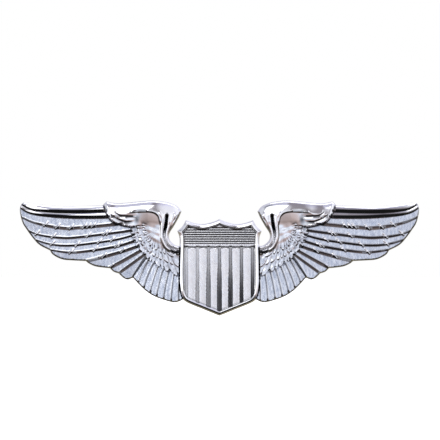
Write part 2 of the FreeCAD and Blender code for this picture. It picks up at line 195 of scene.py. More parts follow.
# Nicks in the feathers' edges: distance from mid-span, index of the feather's lower line.
NICKS = [
    (33.3, 2), (31.0, 2), (28.4, 2), (25.9, 2), (25.1, 2), (24.2, 2),
    (34.9, 3), (31.8, 3), (25.1, 3), (21.9, 3), (21.3, 3),
    (32.0, 4), (27.2, 4), (23.0, 4), (20.5, 4),
    (28.4, 5), (23.8, 5), (19.7, 5), (19.1, 5),
    (22.2, 6), (18.6, 6),
    (21.7, 7), (20.9, 7),
]


# ---- plane geometry ----
FAR = 1e9


def smooth_curve(points, spacing):
    """Points along a Catmull-Rom curve through the given ones, about evenly spaced."""
    samples = 40
    pts = np.array(points, float)
    if len(pts) == 2:
        count = max(2, int(np.linalg.norm(pts[1] - pts[0]) / spacing) + 1)
        return pts[0] + (pts[1] - pts[0]) * np.linspace(0, 1, count)[:, None]
    ends = np.vstack([2 * pts[0] - pts[1], pts, 2 * pts[-1] - pts[-2]])
    dense = []
    for i in range(1, len(ends) - 2):
        a, b, c, d = ends[i - 1:i + 3]
        t = np.linspace(0, 1, samples, endpoint=False)[:, None]
        dense.append(0.5 * (2 * b + (c - a) * t + (2 * a - 5 * b + 4 * c - d) * t ** 2
                            + (3 * b - a - 3 * c + d) * t ** 3))
    dense = np.vstack(dense + [pts[-1:]])
    return resample(dense, spacing)


def resample(line, spacing):
    """The same polyline with evenly spaced points."""
    steps = np.linalg.norm(np.diff(line, axis=0), axis=1)
    along = np.concatenate([[0], np.cumsum(steps)])
    count = max(2, int(round(along[-1] / spacing)) + 1)
    at = np.linspace(0, along[-1], count)
    return np.stack([np.interp(at, along, line[:, 0]), np.interp(at, along, line[:, 1])], axis=1)


def measure(points, line):
    """Signed distance to a polyline (positive on its left) and the place along it, 0 to 1."""
    best = np.full(len(points), FAR)
    signed = np.zeros(len(points))
    place = np.zeros(len(points))
    last = len(line) - 2
    for i in range(len(line) - 1):
        a = line[i]
        run = line[i + 1] - a
        length2 = run @ run
        rel = points - a
        t = rel @ run / length2
        low = -FAR if i == 0 else 0.0
        high = FAR if i == last else 1.0
        tc = np.clip(t, low, high)
        away = rel - tc[:, None] * run
        d = np.hypot(away[:, 0], away[:, 1])
        side = run[0] * rel[:, 1] - run[1] * rel[:, 0]
        closer = d < best
        best[closer] = d[closer]
        signed[closer] = np.where(side[closer] >= 0, d[closer], -d[closer])
        place[closer] = (i + np.clip(t[closer], 0, 1)) / (last + 1)
    return signed, place


def nearest(points, line):
    """Plain distance to a polyline with ends, and the place along it, 0 to 1."""
    best = np.full(len(points), FAR)
    place = np.zeros(len(points))
    for i in range(len(line) - 1):
        a = line[i]
        run = line[i + 1] - a
        rel = points - a
        t = np.clip(rel @ run / (run @ run), 0, 1)
        d = np.hypot(*(rel - t[:, None] * run).T)
        closer = d < best
        best[closer] = d[closer]
        place[closer] = (i + t[closer]) / (len(line) - 1)
    return best, place


def inside(points, polygon):
    """True for points inside a closed polygon."""
    x, y = points[:, 0], points[:, 1]
    result = np.zeros(len(points), bool)
    following = np.roll(polygon, -1, axis=0)
    for (x0, y0), (x1, y1) in zip(polygon, following):
        if y0 == y1:
            continue
        crosses = (y0 > y) != (y1 > y)
        at = x0 + (y - y0) * (x1 - x0) / (y1 - y0)
        result ^= crosses & (x < at)
    return result


def step_up(value, low, high):
    """Smooth step from 0 at low to 1 at high, whichever of the two is larger."""
    t = np.clip((value - low) / (high - low), 0, 1)
    return t * t * (3 - 2 * t)


def three_way(values, place):
    """Blend of the values at a feather's root, middle and tip."""
    middle = 0.68
    return np.interp(place, (0.0, middle, 1.0), values)


# ---- triangulated relief ----
def outline_of(runs, spacing):
    """One line of points through runs that meet end to end, without the last run's end."""
    return np.vstack([smooth_curve(run, spacing)[:-1] for run in runs])


def fill_points(polygon, taken, spacing, coarse=None):
    """Hexagonal lattice inside the polygon, clear of points already taken, thinner where coarse."""
    coarse_share = 7
    clearance = 0.55 * spacing
    low, high = polygon.min(0), polygon.max(0)
    rows = np.arange(low[1], high[1], spacing * math.sqrt(0.75))
    lattice = []
    for k, z in enumerate(rows):
        s = np.arange(low[0] + (k % 2) * spacing / 2, high[0], spacing)
        lattice.append(np.stack([s, np.full_like(s, z)], axis=1))
    lattice = np.vstack(lattice)
    if coarse is not None:
        lattice = lattice[~coarse(lattice) | (np.arange(len(lattice)) % coarse_share == 0)]
    lattice = lattice[inside(lattice, polygon)]
    tree = kdtree.KDTree(len(taken))
    for i, (x, y) in enumerate(taken):
        tree.insert((x, y, 0), i)
    tree.balance()
    keep = [tree.find((x, y, 0))[2] > clearance for x, y in lattice]
    return lattice[np.array(keep)]


def triangulate(polygon, lines, fill):
    """Constrained triangulation of a polygon, with lines that the triangles must follow."""
    points = list(map(tuple, polygon))
    count = len(points)
    edges = [(i, (i + 1) % count) for i in range(count)]
    for line in lines:
        start = len(points)
        points += list(map(tuple, line))
        edges += [(start + i, start + i + 1) for i in range(len(line) - 1)]
    points += list(map(tuple, fill))
    result = delaunay_2d_cdt([Vector(p) for p in points], edges, [list(range(count))], 1, 1e-5)
    return np.array([tuple(v) for v in result[0]]), [tuple(f) for f in result[2]]


def trimmed(line, polygon, gap):
    """The stretches of a line that lie inside the polygon and off its boundary."""
    distance, _ = nearest(line, ring_of(polygon))
    keep = inside(line, polygon) & (distance > gap)
    runs, current = [], []
    for point, good in zip(line, keep):
        if good:
            current.append(point)
        elif current:
            runs.append(np.array(current))
            current = []
    if current:
        runs.append(np.array(current))
    return [run for run in runs if len(run) > 2]


def boundary_edges(faces):
    """The directed edges that only one face has."""
    seen = {}
    for face in faces:
        for i in range(len(face)):
            edge = (face[i], face[(i + 1) % len(face)])
            if (edge[1], edge[0]) in seen:
                del seen[(edge[1], edge[0])]
            else:
                seen[edge] = True
    return list(seen)


def sided(faces, points, upward):
    """Faces turned so that they wind the wanted way round in the drawing."""
    turned = []
    for f in faces:
        a, b, c = points[f[0]], points[f[1]], points[f[2]]
        area = (b[0] - a[0]) * (c[1] - a[1]) - (b[1] - a[1]) * (c[0] - a[0])
        turned.append(f if (area > 0) == upward else tuple(reversed(f)))
    return turned


def ring_of(line):
    """A closed line, with its first point repeated at the end."""
    return np.vstack([line, line[:1]])


def closed(line):
    """A ring with its first point repeated, or an open line as it is."""
    widest_gap = 0.5
    return ring_of(line) if np.linalg.norm(line[0] - line[-1]) < widest_gap else line


def place_key(point):
    """The point, rounded, so that the outline's points can be found again in the back."""
    digits = 5
    return round(point[0], digits), round(point[1], digits)


def relief_solid(polygon, lines, fill, relief, back_lines=(), back_relief=None):
    """Closed mesh between a relief front and a near-flat back, sharing one outline."""
    back_gap = 0.25
    front, front_faces = triangulate(polygon, lines, fill)
    back_fill = fill_points(polygon, polygon, BACK_SPACING)
    for line in back_lines:
        distance, _ = nearest(back_fill, ring_of(line))
        back_fill = back_fill[distance > back_gap]
    back, back_faces = triangulate(polygon, [closed(b) for b in back_lines], back_fill)
    front_h = relief(front)
    back_h = back_relief(back) if back_relief else np.zeros(len(back))
    vertices = [(s, -h, z) for (s, z), h in zip(front, front_h)]
    vertices += [(s, -h, z) for (s, z), h in zip(back, back_h)]
    shift = len(front)
    faces = sided(front_faces, front, True)
    rear = sided(back_faces, back, False)
    index = {place_key(point): i for i, point in enumerate(back)}
    walls = []
    for a, b in boundary_edges(faces):
        c = index[place_key(front[b])] + shift
        d = index[place_key(front[a])] + shift
        walls.append((b, a, d, c))
    faces = faces + [tuple(i + shift for i in f) for f in rear] + walls
    return np.array(vertices), faces


def make_piece(name, vertices, faces, material, attributes=None):
    """Object made from millimetre vertices, with named values at its points."""
    mesh = bpy.data.meshes.new(name)
    mesh.from_pydata([tuple(v) for v in np.asarray(vertices) * MM], [], faces)
    mesh.validate()
    for key, values in (attributes or {}).items():
        layer = mesh.attributes.new(key, "FLOAT", "POINT")
        layer.data.foreach_set("value", np.asarray(values, np.float32))
    mesh.materials.append(material)
    piece = bpy.data.objects.new(name, mesh)
    bpy.context.scene.collection.objects.link(piece)
    return piece


# ---- relief of one wing ----
class Wing:
    """Height of the struck wing at any point of the drawing, and how bright it is polished."""

    def __init__(self):
        fine = CURVE_SPACING / 2
        self.lines = [(smooth_curve(line, STEP_SPACING), width, height)
                      for line, width, height in PRIMARY_LINES]
        roots = resample(smooth_curve(SECONDARY_ROOTS, CURVE_SPACING), fine)
        tips = resample(smooth_curve(SECONDARY_TIPS, CURVE_SPACING), fine)
        for k in range(1, SECONDARY_COUNT + 1):
            a = roots[int((len(roots) - 1) * k / SECONDARY_COUNT)]
            b = tips[int((len(tips) - 1) * k / SECONDARY_COUNT)]
            bow = (a + b) / 2 + np.array(SECONDARY_BOW)
            self.lines.append((smooth_curve([a, bow, b], STEP_SPACING), *SECONDARY_STEP))
        self.top = smooth_curve(WING_TOP, STEP_SPACING)
        self.leaf = smooth_curve(LEAF_EDGE, CURVE_SPACING)
        self.arm_lower = smooth_curve(ARM_LOWER, CURVE_SPACING)
        self.band = smooth_curve(INNER_BAND, CURVE_SPACING)
        self.neck = smooth_curve(NECK_TUBE, CURVE_SPACING)
        self.groove = smooth_curve(NECK_GROOVE, CURVE_SPACING)
        self.pit = smooth_curve(NECK_PIT, CURVE_SPACING)
        self.arc = smooth_curve(COVERT_ARC, CURVE_SPACING)
        self.leaf_creases = [smooth_curve(crease, CURVE_SPACING) for crease in LEAF_CREASES]
        self.arm_top = outline_of(OUTLINE_RUNS[:2], CURVE_SPACING)
        self.outline = outline_of(OUTLINE_RUNS, WING_SPACING)
        self.ring = ring_of(self.outline)
        self.nicks = [self.nick(s, k) for s, k in NICKS]

    def nick(self, s, index):
        """A split in a feather's edge, slanting up and towards the root."""
        line = self.lines[index][0]
        z = np.interp(s, line[:, 0], line[:, 1])
        return np.array([(s + 0.2, z - 0.2), (s - 0.25, z + 0.3), (s - 0.66, z + 0.72)])

    def half_step(self, k, place):
        """Half the width of the step below feather k."""
        share = PRIMARY_STEP_SHARE if k < len(PRIMARY_LINES) else SECONDARY_STEP_SHARE
        return share * three_way(self.lines[k][1], place)

    def step_lines(self):
        """The upper and lower limit of each step, for the triangles to follow."""
        result = []
        for k, (line, _, _) in enumerate(self.lines):
            run = np.gradient(line, axis=0)
            normal = np.stack([-run[:, 1], run[:, 0]], axis=1)
            normal /= np.linalg.norm(normal, axis=1)[:, None]
            half = self.half_step(k, np.linspace(0, 1, len(line)))[:, None]
            result += [line + normal * half, line - normal * half]
            result.append(line + normal * (half + LIP_WIDTH))
        return result

    def in_step(self, p):
        """True inside the steps and lips, where only the guide lines carry points."""
        slack = 0.02
        result = np.zeros(len(p), bool)
        for k, (line, _, _) in enumerate(self.lines):
            d, place = nearest(p, line)
            above = measure(p, line)[0] > 0
            half = self.half_step(k, place)
            result |= d < np.where(above, half + LIP_WIDTH - slack, half - slack)
        return result

    def feathers(self, p):
        """Overlapping feathers, from the innermost secondary up to the top primary."""
        s = p[:, 0]
        fall = np.clip((s - FALL_START) / FALL_RUN, 0, 1)
        crest = ROOT_RELIEF + (TIP_RELIEF - ROOT_RELIEF) * fall
        measured = [measure(p, line) for line, _, _ in self.lines]
        top, _ = measure(p, self.top)
        above = [top] + [m[0] for m in measured[:-1]]
        height = crest - 0.5
        polish = np.zeros(len(p))
        shade = np.zeros(len(p))
        for k in reversed(range(len(self.lines))):
            low, place = measured[k]
            half = self.half_step(k, place)
            rise = self.lines[k][2] * np.interp(place, (0, 0.75, 1), (1.0, 0.9, 0.45))
            f = np.clip((low - half) / np.maximum(low - above[k] - 2 * half, 0.05), 0, 1)
            if k == 0:
                profile = crest + 0.22 - rise * (0.3 * f + 0.9 * f ** 1.7)
            elif k in TUBE_FEATHERS:
                profile = crest + 0.2 - rise * (0.3 * f + 0.35 * f ** 1.6)
            elif k < len(PRIMARY_LINES):
                dip = step_up(low - half, -0.02, LIP_WIDTH)
                profile = crest - rise * (0.14 * f + 0.26 * dip)
            else:
                ripple = 0.035 * np.cos(3 * np.pi * f) + 0.012 * np.sin(17 * f + 3 * k)
                profile = crest - 0.75 + 0.75 * place + ripple - rise * 0.5 * f
            mask = np.clip((low + half) / (2 * half), 0, 1)
            height = height * (1 - mask) + profile * mask
            # painted shade along the step below each feather, weaker on the secondaries
            in_band = np.exp(-(low / (half + 0.05)) ** 6)
            in_band *= 1.0 if k < len(PRIMARY_LINES) else 0.55
            shade = np.where(low > -half, 0, shade)
            shade = np.maximum(shade, in_band)
            polished = 1.0 if k in TUBE_FEATHERS else 0.0
            lip = step_up(low - half, LIP_WIDTH + 0.05, LIP_WIDTH - 0.08)
            polish = np.where(low > -half, np.maximum(polished, lip), polish)
        # notches at the secondaries' tips, cut in and darkened with painted shade
        for low, place in measured[len(PRIMARY_LINES):]:
            notch = np.exp(-(low / NOTCH_WIDTH) ** 2) * step_up(place, 0.78, 0.92)
            height -= NOTCH_DEPTH * notch
            shade = np.maximum(shade, 0.6 * notch)
        return height, polish, shade

    def cut_nicks(self, p, height, polish, shade):
        """Raises a bright barb along each nick, in place."""
        reach = 1.4
        for line in self.nicks:
            near = np.hypot(*(p - line[1]).T) < reach
            d, place = nearest(p[near], line)
            barb = np.exp(-(d / NICK_WIDTH) ** 4)
            height[near] += barb * (0.16 * (1 - place) + 0.05)
            polish[near] = np.maximum(polish[near], barb)
            shade[near] *= 1 - 0.95 * barb

    def coverts(self, p, height, polish, shade):
        """Rows of small plumes round the wrist, laid over the feathers' roots."""
        centre = np.array(COVERT_CENTRE)
        rel = p - centre
        radius = np.hypot(rel[:, 0], rel[:, 1])
        angle = np.unwrap(np.arctan2(self.arc[:, 1] - centre[1], self.arc[:, 0] - centre[0]))
        reach = np.hypot(*(self.arc - centre).T)
        order = np.argsort(angle)
        theta = np.arctan2(rel[:, 1], rel[:, 0])
        theta = np.where(theta > angle.max() + 1.2, theta - 2 * np.pi, theta)
        rho = radius / np.interp(theta, angle[order], reach[order])
        mound = COVERT_RELIEF + 0.02 * np.clip(1 - rho ** 2, -0.5, 1)
        sweep = (theta - angle.min()) / (angle.max() - angle.min())
        for edge, count, phase in COVERT_ROWS:
            cell = sweep * count + phase + 0.18 * np.sin(9 * sweep * count / 4 + 5 * edge)
            which = np.floor(cell)
            across = cell - which - 0.5
            loose = np.sin(12.9 * which + 78.2 * edge)
            tip = edge - (0.12 + 0.04 * loose) * (2 * np.abs(across)) ** 2.5 + 0.03 * loose
            over = (tip - rho) * PLUME_RAMP
            mask = step_up(over, -0.09, 0.09)
            along = np.clip((tip - rho) / PLUME_LENGTH, 0, 1)
            seam = np.exp(-((0.5 - np.abs(across)) / 0.1) ** 2) * (1 - along)
            scale = mound + 0.1 + 0.03 * loose - 0.16 * along - 0.12 * (2 * across) ** 2
            height = height * (1 - mask) + scale * mask
            # painted shade along each plume's tip and down the seams between plumes
            rim = np.exp(-((over + 0.04) / 0.1) ** 2)
            shade = shade * (1 - mask) + (0.3 + 0.25 * loose) * rim * (over < 0.08)
            shade = np.maximum(shade, 0.6 * mask * seam)
            polish = polish * (1 - mask) + mask * (0.3 + 0.5 * step_up(along, 0.3, 0.0))
        wrist = step_up(rho, 0.5, 0.3)
        height = height * (1 - wrist) + (mound + 0.1) * wrist
        s, z = p[:, 0], p[:, 1]
        waves = 0.016 * np.sin(3.1 * s + 1.7 * z) + 0.012 * np.sin(5.2 * z - 2 * s)
        height += waves * step_up(rho, 1.0, 0.85)
        polish = polish * (1 - wrist) + 0.75 * wrist
        return height, polish, shade

    def arm(self, p, height, polish, shade):
        """The rolled arm over the coverts: tube, bowl of the wrist, leaf end and neck."""
        s, z = p[:, 0], p[:, 1]
        leaf, _ = measure(p, self.leaf)
        leaf = -leaf
        lower, _ = measure(p, self.arm_lower)
        lower = -lower
        edge, _ = nearest(p, self.arm_top)
        # tube along the top, rolling over to a crest just above its lower line
        near = edge + np.clip(lower, 0.05, 9)
        blend = step_up(s, 16.0, 18.5)
        span = near * (1 - blend) + (2.2 + 0.15 * (s - 17.0)) * blend
        u = np.clip(edge / span, 0, 1)
        tube = TUBE_FOOT + TUBE_RISE * np.sqrt(np.clip(1 - (1 - u) ** 2, 0, 1))
        under = step_up(lower, 0.12, -0.14) * step_up(s, 18.0, 14.8)
        bulge = np.clip(1 - ((s - 13.9) / 3.2) ** 2, 0, 1)
        swell = 0.06 * (z - 6.3) + 0.12 * bulge * step_up(z, 5.6, 8.4)
        bowl = BOWL_RELIEF + step_up(s, 16.6, 13.6) * swell
        body = tube * (1 - under) + bowl * under
        # leaf end: white rolled rim and two short grooves inside it
        leafy = step_up(s, 14.9, 16.4)
        rim = step_up(leaf, 0.02, 0.25)
        body = body - 0.5 * (1 - rim) * leafy
        leaf_grooves = np.zeros(len(p))
        for crease in self.leaf_creases:
            d, place = nearest(p, crease)
            cut = np.exp(-(d / (0.08 + 0.09 * step_up(place, 0.0, 0.4))) ** 2)
            cut = cut * step_up(place, 1.0, 0.7)
            leaf_grooves = np.maximum(leaf_grooves, cut)
            body -= 0.14 * cut
        cover = step_up(leaf, -0.1, 0.1) * (z > 5.5)
        right = step_up(s, 14.6, 15.8)
        region = cover * right + (1 - right) * step_up(z, 5.2, 7.2)
        region = np.where(s < 7.0, 0, region)
        height = height * (1 - region) + body * region
        polish = polish * (1 - region) + region
        # painted shade: a little on the bowl under the tube, more along the arm's lower line, in the
        # leaf's creases, on a patch at the leaf's inner end and round the leaf's edge
        shade = shade * (1 - region) + region * under * 0.12
        line = np.exp(-(lower / 0.13) ** 2) * step_up(s, 17.4, 16.4)
        shade = np.maximum(shade, region * 0.7 * line)
        shade = np.maximum(shade, region * leaf_grooves ** 1.5)
        from_shade_patch = (p - np.array(SHADE_PATCH_AT)) / np.array(SHADE_PATCH_SIZE)
        shade_patch = np.exp(-from_shade_patch[:, 0] ** 2 - from_shade_patch[:, 1] ** 2)
        shade = np.maximum(shade, region * 0.8 * shade_patch)
        ring = np.exp(-((leaf + 0.06) / 0.15) ** 2) * (s > 15.6) * (z > 5.5)
        shade = np.maximum(shade, ring)
        for line, (width, rise) in ((self.band, BAND_RIDGE), (self.neck, NECK_RIDGE)):
            d, place = nearest(p, line)
            ridge = np.sqrt(np.clip(1 - (d / width) ** 2, 0, 1))
            fade = step_up(place, 0.0, 0.12)
            base = 2.55 - 0.25 * place
            target = base + rise * ridge
            use = (ridge > 0) * fade
            height = np.where(use > 0, np.maximum(height, target * use + height * (1 - use)), height)
            polish = np.maximum(polish, (ridge > 0) * fade)
        # a pit and a groove at the neck, cut in and darkened with painted shade
        d, _ = nearest(p, self.pit)
        cut = np.exp(-(d / PIT_WIDTH) ** 4)
        height -= PIT_DEPTH * cut
        shade = np.maximum(shade, cut)
        d, place = nearest(p, self.groove)
        cut = np.exp(-(d / (GROOVE_WIDTH - 0.13 * place)) ** 2)
        cut = cut * (1 - 0.5 * step_up(place, 0.3, 0.55))
        height -= GROOVE_DEPTH * cut * step_up(place, 0.0, 0.08)
        shade = np.maximum(shade, cut ** 2)
        return height, polish, shade

    def facing(self, p):
        """How far the nearest bit of outline faces down, 1 for straight down."""
        _, place = nearest(p, self.ring)
        run = np.diff(self.ring, axis=0)
        down = run[:, 0] / np.linalg.norm(run, axis=1)
        index = np.clip((place * len(run)).astype(int), 0, len(run) - 1)
        return -down[index]

    def at(self, p):
        """Height, polish and shade of the wing at points of the drawing."""
        height, polish, shade = self.feathers(p)
        self.cut_nicks(p, height, polish, shade)
        height, polish, shade = self.coverts(p, height, polish, shade)
        height, polish, shade = self.arm(p, height, polish, shade)
        edge, _ = nearest(p, self.ring)
        wall = WALL_FOOT + (height - WALL_FOOT) * np.sqrt(np.clip(edge / WALL_WIDTH, 0, 1))
        height = np.minimum(height, np.maximum(wall, WALL_FOOT))
        under = step_up(self.facing(p), 0.1, 0.5) * step_up(edge, 0.36, 0.25)
        shade = np.maximum(shade, UNDERSIDE_SHADE * under)
        seat = (p[:, 0] < SEAT_REACH) & inside(p, SHIELD_LOOP)
        height = np.where(seat, np.minimum(height, SEAT_RELIEF), height)
        return height, polish, shade


# ---- the drawing of the shield ----
SHIELD_TOP = [(0.0, 7.45), (1.1, 6.95), (3.1, 6.48), (4.8, 6.68), (6.4, 7.22)]
SHIELD_EAR = [(6.4, 7.22), (7.1, 6.0), (8.05, 5.15)]
SHIELD_SIDE = [(8.05, 5.15), (7.65, 4.0), (7.6, 2.2), (7.7, -1.0), (7.7, -4.0), (7.55, -6.2),
               (7.1, -7.6), (6.1, -8.5), (3.2, -9.7), (0.0, -11.0)]
SHIELD_SPACING = 0.12
SHIELD_RELIEF = 3.5
FIELD_RELIEF = 2.95
FIELD_POLISH = 0.25
SEAT_REACH = 7.9
HIDDEN_REACH = 6.4
RIM_WIDTH = 0.86
RIM_FOOT = RIM_WIDTH + 0.12
RIM_CREST = 0.62
RIM_FALL = 0.34
RIM_LIP_FALL = 0.16
RIM_RINGS = (0.1, 0.2, 0.3, 0.46, 0.62, 0.72, 0.82, 0.9, RIM_FOOT)
PALE_COUNT = 6
PALE_PITCH = 2.09
PALE_RELIEF = 0.34
PALES_TOP = 1.98
PALE_GAP = 0.17
PALE_GAP_GROWTH = 0.15
GROOVE_COLUMNS = (-0.35, -0.18, 0.0, 0.18, 0.35)
CHIEF_TOP = 5.72
CHIEF_LOW = 2.72
CHIEF_PITCH = 0.43
CHIEF_LINES = 7
CHIEF_RELIEF = FIELD_RELIEF + 0.2
CHIEF_CUT = 0.1
BAR_AT = 2.5
BAR_RELIEF = 0.36
BAR_ROWS = (2.75, 2.5, 2.27, 2.14, 2.02)
DARK_LINE_AT = 2.13


def shield_outline(inset=0.0):
    """The shield's outline, anticlockwise from the top, drawn in by the inset."""
    half = [SHIELD_TOP, SHIELD_EAR, SHIELD_SIDE]
    pieces = [smooth_curve(run, SHIELD_SPACING)[:-1] for run in half]
    right = np.vstack(pieces + [np.array([SHIELD_SIDE[-1]])])
    left = right[1:-1][::-1] * np.array([-1, 1])
    loop = np.vstack([right, left])
    if inset:
        run = np.roll(loop, -1, axis=0) - np.roll(loop, 1, axis=0)
        normal = np.stack([run[:, 1], -run[:, 0]], axis=1)
        normal /= np.linalg.norm(normal, axis=1)[:, None]
        loop = loop + normal * inset
    return loop


SHIELD_LOOP = shield_outline()


# ---- node materials ----
MIX_SOCKETS = {"RGBA": (6, 7, 2), "VECTOR": (4, 5, 1)}


class Nodes:
    """Small helper that adds nodes to a tree and links them."""

    def __init__(self, tree):
        self.tree = tree

    def put(self, socket, value):
        if isinstance(value, bpy.types.NodeSocket):
            self.tree.links.new(value, socket)
        else:
            socket.default_value = value

    def node(self, kind, inputs=None, **settings):
        made = self.tree.nodes.new(kind)
        for key, value in settings.items():
            setattr(made, key, value)
        for key, value in (inputs or {}).items():
            self.put(made.inputs[key], value)
        return made

    def math(self, operation, a, b=0.0):
        return self.node("ShaderNodeMath", {0: a, 1: b}, operation=operation).outputs[0]

    def ramp(self, value, low, high, from_low=0.0, from_high=1.0):
        """Runs from low to high, held at both ends, as the value does between its own two limits."""
        inputs = {"Value": value, "From Min": from_low, "From Max": from_high,
                  "To Min": low, "To Max": high}
        return self.node("ShaderNodeMapRange", inputs).outputs[0]

    def mix(self, factor, a, b, kind="RGBA"):
        first, second, result = MIX_SOCKETS[kind]
        inputs = {0: factor, first: a, second: b}
        return self.node("ShaderNodeMix", inputs, data_type=kind).outputs[result]

    def noise(self, scale, detail=3.0, roughness=0.6, vector=None):
        inputs = {"Scale": scale, "Detail": detail, "Roughness": roughness}
        inputs["Vector"] = vector or self.coords()
        return self.node("ShaderNodeTexNoise", inputs).outputs[0]

    def coords(self, stretch=(1, 1, 1), turn=0.0):
        place = self.node("ShaderNodeTexCoord").outputs["Object"]
        inputs = {"Vector": place, "Scale": stretch, "Rotation": (0, turn, 0)}
        return self.node("ShaderNodeMapping", inputs).outputs[0]

    def bump(self, height, strength, distance, normal=None):
        inputs = {"Height": height, "Strength": strength, "Distance": distance}
        if normal:
            inputs["Normal"] = normal
        return self.node("ShaderNodeBump", inputs).outputs[0]

    def attribute(self, name):
        return self.node("ShaderNodeAttribute", attribute_name=name).outputs["Fac"]


class Shader(Nodes):
    """A new material, whose surface is set through plain names."""

    SOCKETS = {"color": "Base Color", "rough": "Roughness", "metal": "Metallic",
               "normal": "Normal", "glow": "Emission Color", "glow_strength": "Emission Strength"}

    def __init__(self, name):
        self.material = bpy.data.materials.new(name)
        self.material.use_nodes = True
        super().__init__(self.material.node_tree)
        self.surface = self.tree.nodes["Principled BSDF"]

    def set(self, **values):
        for key, value in values.items():
            self.put(self.surface.inputs[self.SOCKETS[key]], value)


MIRROR = (0.93, 0.93, 0.955, 1)
MIRROR_ROUGH = 0.07
SATIN_LIGHT = (0.86, 0.89, 0.95, 1)
PAINTED_SHADE_BLACK = (0.012, 0.012, 0.015, 1)


def plated(name, satin_rough, satin_tint):
    """Bright plate: mirror where polished, fine satin grain elsewhere, and painted shade that
    darkens it to near black where the shade attribute is high, in the steps and other shaded places.
    """
    m = Shader(name)
    polish = m.attribute("polish")
    shade = m.attribute("shade")
    grain = m.noise(9000, 2.0, 0.7)
    streak = m.noise(2600, 4.0, 0.6, m.coords((1, 1, 0.35), 0.9))
    cloud = m.noise(420, 3.0, 0.55)
    satin = m.mix(m.ramp(streak, 0.0, 1.0, 0.35, 0.75), satin_tint, SATIN_LIGHT)
    color = m.mix(polish, satin, MIRROR)
    # painted shade: the shade attribute mixes the colour towards near black
    color = m.mix(m.math("POWER", shade, 0.8), color, PAINTED_SHADE_BLACK)
    rough = m.ramp(polish, satin_rough, MIRROR_ROUGH)
    rough = m.math("ADD", rough, m.ramp(cloud, -0.03, 0.05, 0.3, 0.7))
    matte = m.math("SUBTRACT", 1.0, polish)
    grained = m.bump(grain, 0.5, 0.00003)
    streaked = m.bump(streak, 0.7, 0.00006, grained)
    plain = m.bump(cloud, 0.12, 0.00008)
    normal = m.mix(matte, plain, streaked, "VECTOR")
    m.set(color=color, rough=rough, metal=1.0, normal=normal)
    return m.material


def metal(name, color, worn, rough):
    """Plain pressed or drawn metal with tarnish clouds and fine scratches."""
    m = Shader(name)
    cloud = m.noise(900, 4.0, 0.6)
    fine = m.noise(8100, 2.0, 0.6, m.coords((1, 0.15, 1)))
    m.set(color=m.mix(m.ramp(cloud, 0.0, 1.0, 0.35, 0.7), color, worn),
          rough=m.ramp(cloud, rough, rough + 0.14, 0.3, 0.7), metal=1.0,
          normal=m.bump(fine, 0.25, 0.00002))
    return m.material


# ---- pieces ----
def under_shield(p):
    """True where the shield hides the wings."""
    return p[:, 0] < HIDDEN_REACH


def build_wings(material):
    """Both wings in one closed piece: the right half from the drawing, and its mirror image."""
    wing = Wing()
    lines = []
    guide = wing.step_lines()
    for line in guide + [wing.leaf, wing.arm_lower, wing.groove] + wing.leaf_creases:
        lines += trimmed(resample(line, WING_SPACING * 1.1), wing.outline, LINE_GAP)
    across = np.array([0.13, 0.1])
    for nick in wing.nicks:
        for shifted in (nick, nick + across, nick - across):
            lines += trimmed(resample(shifted, 0.09), wing.outline, LINE_GAP)
    taken = np.vstack([wing.outline] + lines)
    fill = fill_points(wing.outline, taken, WING_SPACING, under_shield)
    fill = fill[~wing.in_step(fill)]
    looks = {}

    def relief(p):
        height, looks["polish"], looks["shade"] = wing.at(p)
        return height

    sockets = [circle(POST_AT, SOCKET_R + SOCKET_EDGE), circle(POST_AT, SOCKET_R)]
    for centre in RIVETS_AT:
        for radius in (RIVET_R + SOCKET_EDGE, RIVET_R):
            ring = circle(centre, radius)
            half = ring[ring[:, 0] > SOCKET_EDGE]
            sockets.append(half[np.argsort(half[:, 1])])

    def back(p):
        height = np.zeros(len(p))
        for centre, radius in [(POST_AT, SOCKET_R)] + [(at, RIVET_R) for at in RIVETS_AT]:
            away = np.hypot(p[:, 0] - centre[0], p[:, 1] - centre[1])
            height[away < radius + SOCKET_EDGE / 2] = SOCKET_DEPTH
        return height

    vertices, faces = relief_solid(wing.outline, lines, fill, relief, sockets, back)
    return mirrored_piece("struck_wings", vertices, faces, material,
                          with_back(looks, len(vertices)))


def with_back(looks, count):
    """The front's polish and shade, followed by the plain back's, for so many points."""
    extra = count - len(looks["polish"])
    return {"polish": np.concatenate([looks["polish"], np.full(extra, BACK_POLISH)]),
            "shade": np.concatenate([looks["shade"], np.zeros(extra)])}


